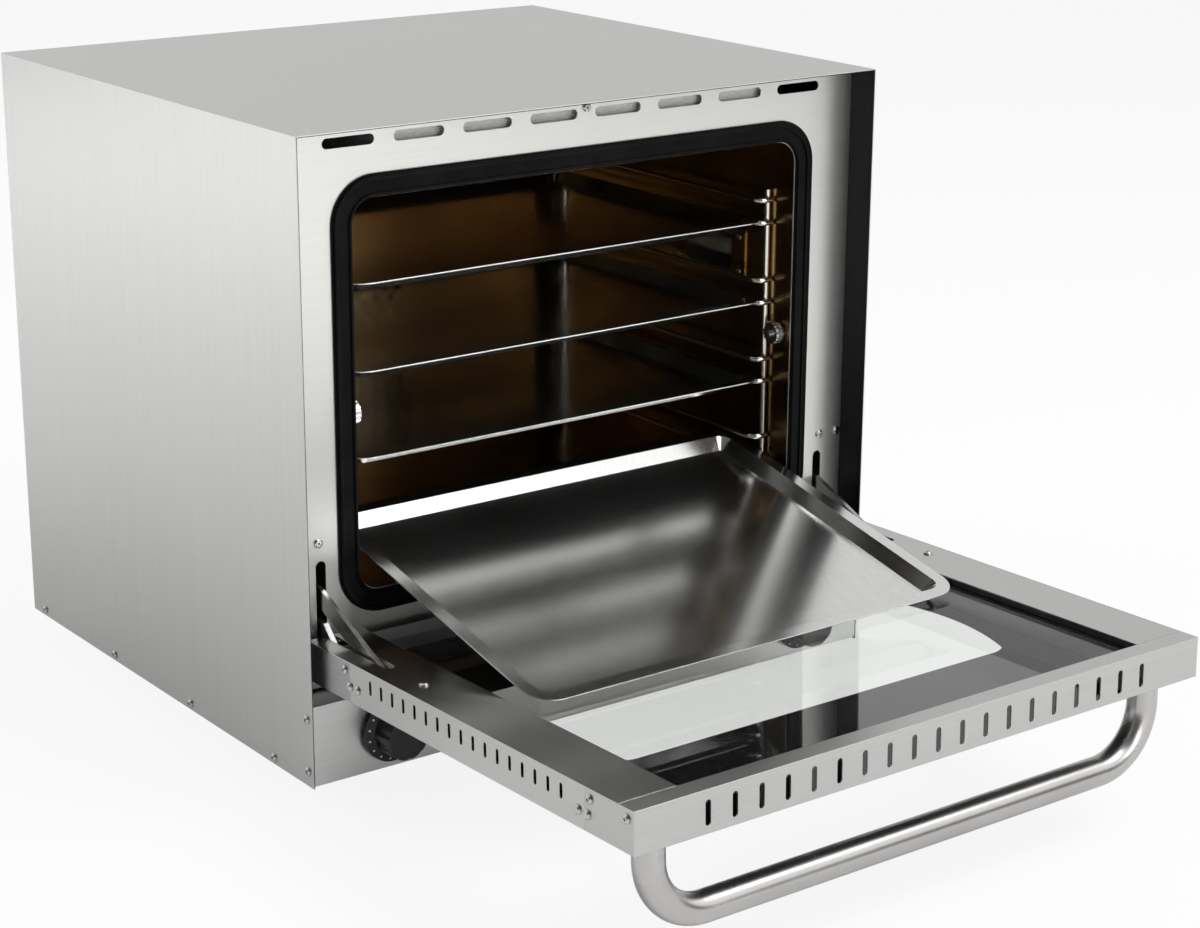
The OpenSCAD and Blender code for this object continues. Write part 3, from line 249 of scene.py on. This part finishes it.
def moulded(name, colour, rough, grain=900.0):
    """Plastic or rubber with a fine moulded grain."""
    finish = Finish(name)
    speckle = finish.noise(grain, detail=2.0)
    wear = worn_patches(finish)
    return finish.surface({
        "Base Color": worn_colour(finish, wear, colour),
        "Roughness": rough + speckle.swing(0.12) + wear.swing(0.1),
        "Normal": finish.relief(speckle, 0.25, GRAIN_DEPTH, SMALL_ROUND),
    })


def mineral_wool(name):
    fibre_depth = 0.004
    finish = Finish(name)
    fibres = finish.noise(160.0, (1, 1, 3), 8.0, 0.7)
    return finish.surface({
        "Base Color": finish.blend(fibres.step(0.3, 0.7), (0.84, 0.84, 0.82), (0.97, 0.97, 0.96)),
        "Roughness": 0.95,
        "Normal": finish.relief(fibres, 0.8, fibre_depth),
    })


def braided_seal(name, colour):
    """Black rubber with the fine slanting ribs of a woven sleeve."""
    slant, ribs_per_length, rib_depth = 0.7, 110.0, 0.0004
    finish = Finish(name)
    where = finish.node("Mapping", sockets={"Vector": finish.place(), "Rotation": (0, slant, 0)})
    sockets = {"Vector": where, "Scale": ribs_per_length, "Distortion": 0.6}
    ribs = finish.node("TexWave", {"bands_direction": "X"}, sockets, "Fac")
    wear = worn_patches(finish)
    return finish.surface({
        "Base Color": worn_colour(finish, wear, colour, 0.8, 1.4),
        "Roughness": 0.34 + wear.swing(0.1),
        "Specular IOR Level": 0.06,
        "Normal": finish.relief(ribs, 0.4, rib_depth, SMALL_ROUND),
    })


def dial_plastic(name, colour):
    """Black plastic with a ring of white dots near the rim of each dial."""
    ring, dots, dot_core, dot_rim = 0.0248, 16, 0.0007, 0.001
    low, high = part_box("thermostat_knob")
    middle = (low + high) / 2
    finish = Finish(name)
    speckle = finish.noise(900.0, detail=2.0)
    wear = worn_patches(finish)
    where = finish.axes()
    across = abs(where.out("X")) - middle.x
    above = where.out("Z") - middle.z
    radius = (across ** 2 + above ** 2) ** 0.5
    turn = across.maths("ARCTAN2", above, across) * (dots / math.tau)
    off = turn.maths("FRACT", turn).swing(ring * math.tau / dots)
    dot = 1 - ((radius - ring) ** 2 + off ** 2).step(dot_core ** 2, dot_rim ** 2)
    return finish.surface({
        "Base Color": finish.blend(dot, worn_colour(finish, wear, colour), (0.75, 0.75, 0.73)),
        "Roughness": 0.4 + speckle.swing(0.12) + wear.swing(0.1),
        "Normal": finish.relief(speckle, 0.2, GRAIN_DEPTH, SMALL_ROUND),
    })


def mirror_share(finish):
    """How much of the light a pane throws back: little from above, more at a low angle."""
    facing = finish.node("LayerWeight", sockets={"Blend": 0.5}, output="Facing")
    outside = 1 - finish.node("NewGeometry", output="Backfacing")
    return (0.04 + 0.9 * facing ** 5) * outside


def pane_face(finish, marks, clear):
    """Clear glass: what is behind shows through, under the glass's own reflections."""
    through = finish.node("BsdfTransparent", sockets={"Color": (*clear, 1)})
    sockets = {"Color": (*grey(0.97), 1), "Roughness": 0.02 + marks * 0.02}
    gloss = finish.node("BsdfGlossy", sockets=sockets)
    return finish.mix(mirror_share(finish), through, gloss)


def clear_pane(name, clear):
    """Heat-resisting glass with a few wipe marks."""
    finish = Finish(name)
    marks = finish.noise(18.0, (1, 3, 1), 5.0).step(0.55, 0.85)
    film = finish.principled({"Base Color": (0.5, 0.5, 0.48, 1), "Roughness": 0.5})
    glass = pane_face(finish, marks, clear)
    return finish.surface(finish.mix(0.004 + marks * 0.006, glass, film))


def printed_pane(name):
    """Outer pane: black print with a clear window whose short sides bulge."""
    window_shift, half_length, half_width = 0.0053, 0.096, 0.204
    bulge, corner, soft_edge = 0.023, 0.018, 0.0003
    low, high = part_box("outer_glass")
    middle = (low.y + high.y) / 2 + window_shift
    finish = Finish(name)
    where = finish.axes()
    along = abs(where.out("Y") - middle)
    side = half_width + bulge * (1 - (along / half_length) ** 2)
    over_x = (abs(where.out("X")) - side + corner).at_least(0)
    over_y = (along - half_length + corner).at_least(0)
    rounding = (over_x ** 2 + over_y ** 2) ** 0.5
    cover = rounding.step(corner - soft_edge, corner + soft_edge)
    marks = finish.noise(25.0, detail=4.0).step(0.5, 0.8)
    ink = finish.principled({
        "Base Color": finish.blend(marks, (0.004, 0.004, 0.005), (0.008, 0.008, 0.009)),
        "Roughness": 0.035 + marks * 0.015,
    })
    return finish.surface(finish.mix(cover, pane_face(finish, marks, (0.975, 0.98, 0.975)), ink))


def lens(name, colour):
    finish = Finish(name)
    ribs = finish.noise(300.0)
    return finish.surface({
        "Base Color": finish.shades(ribs, colour, 0.8, 1.1),
        "Roughness": 0.12 + ribs * 0.06,
        "Normal": finish.relief(ribs, 0.1, MARK_DEPTH),
    })


# The finish of each CAD node. Grinding lines run up, across or from front to back.

UP, ACROSS, BACK = (500, 500, 4), (4, 500, 500), (500, 4, 500)
STEEL = (0.55, 0.55, 0.54)
DOOR_STEEL = (0.54, 0.54, 0.53)
CASING_STEEL = (0.58, 0.58, 0.57)
FINISHES = {
    # grey(0.025) is painted shade for the inside faces of the casing.
    brushed_steel("casing_steel", CASING_STEEL, UP, 0.32, 0.05, grey(0.025)): ["hood"],
    brushed_steel("back_steel", STEEL, UP, 0.36): ["back_panel"],
    brushed_steel("front_steel", (0.74, 0.74, 0.715), ACROSS, 0.36, 0.03): ["fascia"],
    # The control panel's steel is lighter than the other steel: painted light against the door's
    # shadow that falls on it.
    brushed_steel("panel_steel", (0.9, 0.9, 0.89), ACROSS, 0.34, 0.04): ["control_panel"],
    brushed_steel("base_steel", grey(0.5), ACROSS, 0.4): ["base_plate", "lamp_holder"],
    moulded("foot_rubber", grey(0.02), 0.7): ["feet"],
    heat_tinted_steel("oven_steel", (0.26, 0.16, 0.07), (0.5, 0.34, 0.15), 0.22): [
        "cavity_liner",
    ],
    heat_tinted_steel("baffle_steel", (0.24, 0.16, 0.08), (0.46, 0.32, 0.15), 0.2): [
        "fan_baffle", "lamp_cover",
    ],
    mineral_wool("mineral_wool"): ["insulation"],
    braided_seal("seal_rubber", grey(0.005)): ["door_seal"],
    moulded("gasket_rubber", grey(0.012), 0.45, 500.0): ["glass_gasket"],
    lens("lamp_lens", (0.75, 0.28, 0.03)): ["indicator_lamps"],
    moulded("control_plastic", grey(0.06), 0.55): [
        "timer_body", "thermostat_body", "cable_gland",
    ],
    heat_tinted_steel("heater_sheath", (0.12, 0.11, 0.1), (0.22, 0.18, 0.14), 0.4): [
        "heating_element",
    ],
    moulded("motor_paint", (0.2, 0.21, 0.23), 0.5): ["fan_motor"],
    clear_pane("lamp_pane", (0.75, 0.74, 0.72)): ["lamp_glass"],
    moulded("bulb_glass", (0.8, 0.78, 0.7), 0.15): ["lamp_bulb"],
    polished_metal("shelf_wire", (0.78, 0.77, 0.75), 0.14): ["ladder_left", "ladder_right"],
    polished_metal("bright_nut", (0.8, 0.79, 0.77), 0.2): ["ladder_studs", "ladder_nuts"],
    brushed_steel("hinge_steel", grey(0.3), BACK, 0.36): [
        "hinge_case_left", "hinge_case_right", "hinge_arm_left", "hinge_arm_right",
    ],
    brushed_steel("strap_steel", (0.45, 0.45, 0.44), BACK, 0.22): [
        "hinge_strap_left", "hinge_strap_right",
    ],
    polished_metal("bright_screw", STEEL, 0.2, 200.0): [
        "casing_screws", "fascia_screws", "door_screws", "door_rivets",
        "hinge_pins", "strap_pins", "handle_bolts",
    ],
    brushed_steel("door_steel", DOOR_STEEL, BACK, 0.2, 0.03): [
        "door_side_left", "door_side_right",
    ],
    brushed_steel("rail_steel", DOOR_STEEL, ACROSS, 0.32, 0.05): ["door_top_rail"],
    brushed_steel("tail_steel", grey(0.4), ACROSS, 0.36): ["door_bottom_rail"],
    clear_pane("inner_pane", (0.98, 0.985, 0.98)): ["inner_glass"],
    printed_pane("outer_pane"): ["outer_glass"],
    brushed_steel("spacer_metal", grey(0.45), BACK, 0.4): ["glass_spacers", "handle_plugs"],
    polished_metal("handle_steel", (0.52, 0.51, 0.5), 0.27, 9.0): ["door_handle"],
    dial_plastic("knob_plastic", grey(0.012)): ["timer_knob", "thermostat_knob"],
    brushed_steel("shaft_steel", grey(0.6), BACK, 0.3): [
        "timer_shaft", "thermostat_shaft", "fan_shaft",
    ],
    brushed_steel("fan_metal", STEEL, ACROSS, 0.35): ["fan_wheel"],
    brushed_steel("tray_steel", (0.78, 0.78, 0.77), BACK, 0.17): [
        "tray_1", "tray_2", "tray_3", "tray_4",
    ],
}
for material, names in FINISHES.items():
    for name in names:
        NODES[name].data.materials.clear()
        NODES[name].data.materials.append(material)


# Dark crosses on the screw heads, painted shade of their recesses, and the small screws of the
# lamp's frame.
# Turns are in radians: from one head to the next, or for each metre along an axis.

SAME_POINT = 1e-6
SCREW_WIDTH = 0.0084
RECESS_TURN = 1.9
RECESS_SINK = 0.00004
FRAME_RECESS_SINK = 0.00002
FRAME_HEAD_RADIUS = 0.0028
FRAME_HEAD_HEIGHT = 0.0013
FRAME_SCREW_INSET = Vector((0, 0.008, 0.009))
FRAME_RECESS_TURN = Vector((0, 40, 9))
# A pan head's outline from rim to crown: shares of its radius and of its height
HEAD_OUTLINE = ((1.0, 0.0), (1.0, 0.35), (0.9, 0.68), (0.66, 0.9), (0.35, 1.0))
# The crosses' near-black metal is painted shade of the screws' recesses.
SHADOW_METAL = polished_metal("recess_painted_shade", grey(0.05), 0.5, 300.0)
SCREW_METAL = polished_metal("frame_screw", (0.62, 0.6, 0.56), 0.2, 200.0)


def loose_parts(mesh):
    """The corners of each separate solid in a mesh, in the mesh's own order."""
    bm = bmesh.new()
    bm.from_mesh(mesh)
    bmesh.ops.remove_doubles(bm, verts=bm.verts, dist=SAME_POINT)
    parts, seen = [], set()
    for first in bm.verts:
        if first in seen:
            continue
        seen.add(first)
        part = [first]
        for vert in part:
            near = [edge.other_vert(vert) for edge in vert.link_edges]
            fresh = [other for other in near if other not in seen]
            seen.update(fresh)
            part += fresh
        parts.append([vert.co.copy() for vert in part])
    bm.free()
    return parts


def ring_walls(bm, low, high):
    """Faces between two rings of as many corners."""
    for i in range(len(low)):
        j = (i + 1) % len(low)
        bm.faces.new((low[i], low[j], high[j], high[i]))


def cross_recess(bm, place, axis, turn, reach=0.0019, half=0.00042, depth=0.0001):
    """A thin dark cross with pointed arms that lies in the crown of a screw's head; its darkness
    is painted shade of the recess.
    """
    shoulder, taper = reach * 0.7, 0.9
    side = axis.orthogonal().normalized()
    side.rotate(Quaternion(axis, turn))
    other = axis.cross(side)
    arm = [(half, half), (half, shoulder), (0, reach), (-half, shoulder)]
    ring = []
    for quarter in range(4):
        c, s = math.cos(quarter * math.pi / 2), math.sin(quarter * math.pi / 2)
        ring += [side * (x * c - y * s) + other * (x * s + y * c) for x, y in arm]
    low = [bm.verts.new(place + p) for p in ring]
    high = [bm.verts.new(place + p * taper + axis * depth) for p in ring]
    bm.faces.new(high)
    bm.faces.new(low[::-1])
    ring_walls(bm, low, high)


def screw_piece(name, body, bm, finish):
    mesh = bpy.data.meshes.new(name)
    bm.to_mesh(mesh)
    bm.free()
    piece = bpy.data.objects.new(name, mesh)
    bpy.context.scene.collection.objects.link(piece)
    mesh.materials.append(finish)
    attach(piece, body)


def screw_recesses(name, body, node, ahead):
    """A dark cross on each head of a node's screws, which point out of a side or else ahead:
    painted shade of the recess.
    """
    bm = bmesh.new()
    for number, part in enumerate(loose_parts(NODES[node].data)):
        low, high = (Vector(pick(p[i] for p in part) for i in range(3)) for pick in (min, max))
        middle = (low + high) / 2
        sideways = high.x - low.x > SCREW_WIDTH
        axis = Vector((math.copysign(1, middle.x), 0, 0)) if sideways else ahead
        crown = max((p - middle).dot(axis) for p in part)
        place = middle + axis * (crown - RECESS_SINK)
        cross_recess(bm, place, axis, number * RECESS_TURN)
    screw_piece(name, body, bm, SHADOW_METAL)


def domed_head(bm, place, axis, radius, height, sides=24):
    """A screw's pan head: an upright rim, a crown and a closed foot."""
    side = axis.orthogonal().normalized()
    other = axis.cross(side)
    turns = [math.tau * i / sides for i in range(sides)]
    around = [side * math.cos(turn) + other * math.sin(turn) for turn in turns]
    rings = []
    for share, rise in HEAD_OUTLINE:
        middle = place + axis * (height * rise)
        rings.append([bm.verts.new(middle + way * (radius * share)) for way in around])
    bm.faces.new(rings[0][::-1])
    bm.faces.new(rings[-1])
    for low, high in zip(rings, rings[1:]):
        ring_walls(bm, low, high)


def lamp_frame_screws():
    """Four screws that hold the lamp's frame to the cavity's wall."""
    low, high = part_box("lamp_cover")
    inner_low, inner_high = low + FRAME_SCREW_INSET, high - FRAME_SCREW_INSET
    heads, crosses, inward = bmesh.new(), bmesh.new(), Vector((-1, 0, 0))
    crown = inward * (FRAME_HEAD_HEIGHT - FRAME_RECESS_SINK)
    for y in (inner_low.y, inner_high.y):
        for z in (inner_low.z, inner_high.z):
            foot = Vector((low.x, y, z))
            turn = foot.dot(FRAME_RECESS_TURN)
            domed_head(heads, foot, inward, FRAME_HEAD_RADIUS, FRAME_HEAD_HEIGHT)
            cross_recess(crosses, foot + crown, inward, turn, reach=0.0013, half=0.0003)
    screw_piece("lamp_frame_screws", "oven", heads, SCREW_METAL)
    # The crosses on the frame screws are painted shade of their recesses.
    screw_piece("lamp_frame_recesses", "oven", crosses, SHADOW_METAL)


def door_face():
    """The way that the open door's inner face looks."""
    hinge = next(joint for joint in frame["joints"] if joint["name"] == "door_hinge")
    opened = math.radians(hinge["range_deg"][1] - hinge["range_deg"][0])
    return Vector((0, math.cos(opened), math.sin(opened)))


FORWARD = Vector((0, -1, 0))
screw_recesses("casing_screw_recesses", "oven", "casing_screws", FORWARD)
screw_recesses("front_screw_recesses", "oven", "fascia_screws", FORWARD)
screw_recesses("door_screw_recesses", "door", "door_screws", door_face())
lamp_frame_screws()


# The floor, the light and the camera

FLOOR_DROP = 0.0002
FLOOR_REACH = 9
FLOOR_GLOW = 0.88
SENSOR_WIDTH = 36.0
LENS = 79.555
CAMERA_PLACE = (-1.3079, -2.0112, 0.9008)
CAMERA_TURN = (72.8274, -0.3094, -36.6075)
WHITE = (1, 1, 1, 1)
scene = bpy.context.scene


def looked_at(rays):
    """1 where the eye looks straight at a surface, or at it through glass."""
    return (rays.out("Is Camera Ray") + rays.out("Is Transmission Ray")).at_most(1)


def paper(name, shade):
    """Pale floor: near white to the eye, with a shadow. Metal mirrors it as the lamps light it."""
    finish = Finish(name)
    seen = looked_at(finish.node("LightPath"))
    grain = finish.noise(60.0)
    matt = finish.node("BsdfDiffuse", sockets={"Color": finish.shades(grain, shade, 0.98, 1.0)})
    glow = finish.node("Emission", sockets={"Color": WHITE, "Strength": 1.0})
    return finish.surface(finish.mix(seen * FLOOR_GLOW, matt, glow))


def studio(world):
    """White behind the object, a dark room in front of it and an even light from all round."""
    finish = Finish(world)
    rays = finish.node("LightPath")
    sky = finish.node("TexCoord", output="Generated")
    way = finish.node("SeparateXYZ", sockets={"Vector": sky})
    pale = finish.blend(way.out("X").step(-0.2, 0.6), grey(0.95), grey(0.74))
    behind = (way.out("Y") + way.out("X") * 0.35).step(-0.35, 0.3)
    room = finish.node("Background", sockets={"Color": finish.blend(behind, grey(0.1), pale)})
    around = finish.node("Background", sockets={"Color": WHITE, "Strength": 0.42})
    backdrop = finish.node("Background", sockets={"Color": WHITE, "Strength": 1.0})
    lit = finish.mix(rays.out("Is Glossy Ray"), around, room)
    finish.node("OutputWorld", sockets={"Surface": finish.mix(looked_at(rays), lit, backdrop)})


def pale_floor():
    """A wide sheet just under the feet, so that no two faces share a plane."""
    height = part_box("feet")[0].z - FLOOR_DROP
    corners = ((-1, -1), (1, -1), (1, 1), (-1, 1))
    mesh = bpy.data.meshes.new("floor")
    points = [(x * FLOOR_REACH, y * FLOOR_REACH, height) for x, y in corners]
    mesh.from_pydata(points, [], [(0, 1, 2, 3)])
    mesh.materials.append(paper("paper_floor", grey(0.86)))
    floor = bpy.data.objects.new("floor", mesh)
    scene.collection.objects.link(floor)


def soft_light(name, place, aim, size, power, mirrored=True):
    """A wide lamp. One that isn't mirrored lights the scene without showing in the metal."""
    light = bpy.data.lights.new(name, "AREA")
    light.shape = "RECTANGLE"
    light.size, light.size_y = size
    light.energy = power
    lamp = bpy.data.objects.new(name, light)
    lamp.location = place
    lamp.rotation_euler = (Vector(aim) - Vector(place)).to_track_quat("-Z", "Y").to_euler()
    lamp.visible_glossy = mirrored
    scene.collection.objects.link(lamp)


def photo_camera():
    """The camera at the photograph's viewing angle. Its turn is in degrees."""
    camera = bpy.data.objects.new("camera", bpy.data.cameras.new("camera"))
    camera.data.sensor_fit = "HORIZONTAL"
    camera.data.sensor_width = SENSOR_WIDTH
    camera.data.lens = LENS
    camera.location = CAMERA_PLACE
    camera.rotation_euler = [math.radians(angle) for angle in CAMERA_TURN]
    scene.collection.objects.link(camera)
    scene.camera = camera


pale_floor()
scene.view_settings.view_transform = "Standard"
scene.world = bpy.data.worlds.new("studio")
studio(scene.world)
soft_light("key_light", place=(1.7, -2.4, 2.2), aim=(0, -0.2, 0.2), size=(4.0, 3.0), power=42)
soft_light("top_light", place=(1.3, -1.7, 3.1), aim=(0.6, -1.0, 0), size=(2.4, 2.0), power=56)
soft_light("fill_light", place=(0.2, -3.2, 0.7), aim=(0, -0.2, 0.35), size=(2.0, 1.0), power=16)
soft_light(
    "side_light", place=(-3.0, 2.7, 1.7), aim=(-2.3, 2.0, 0), size=(1.8, 1.4), power=105,
    mirrored=False,
)
photo_camera()
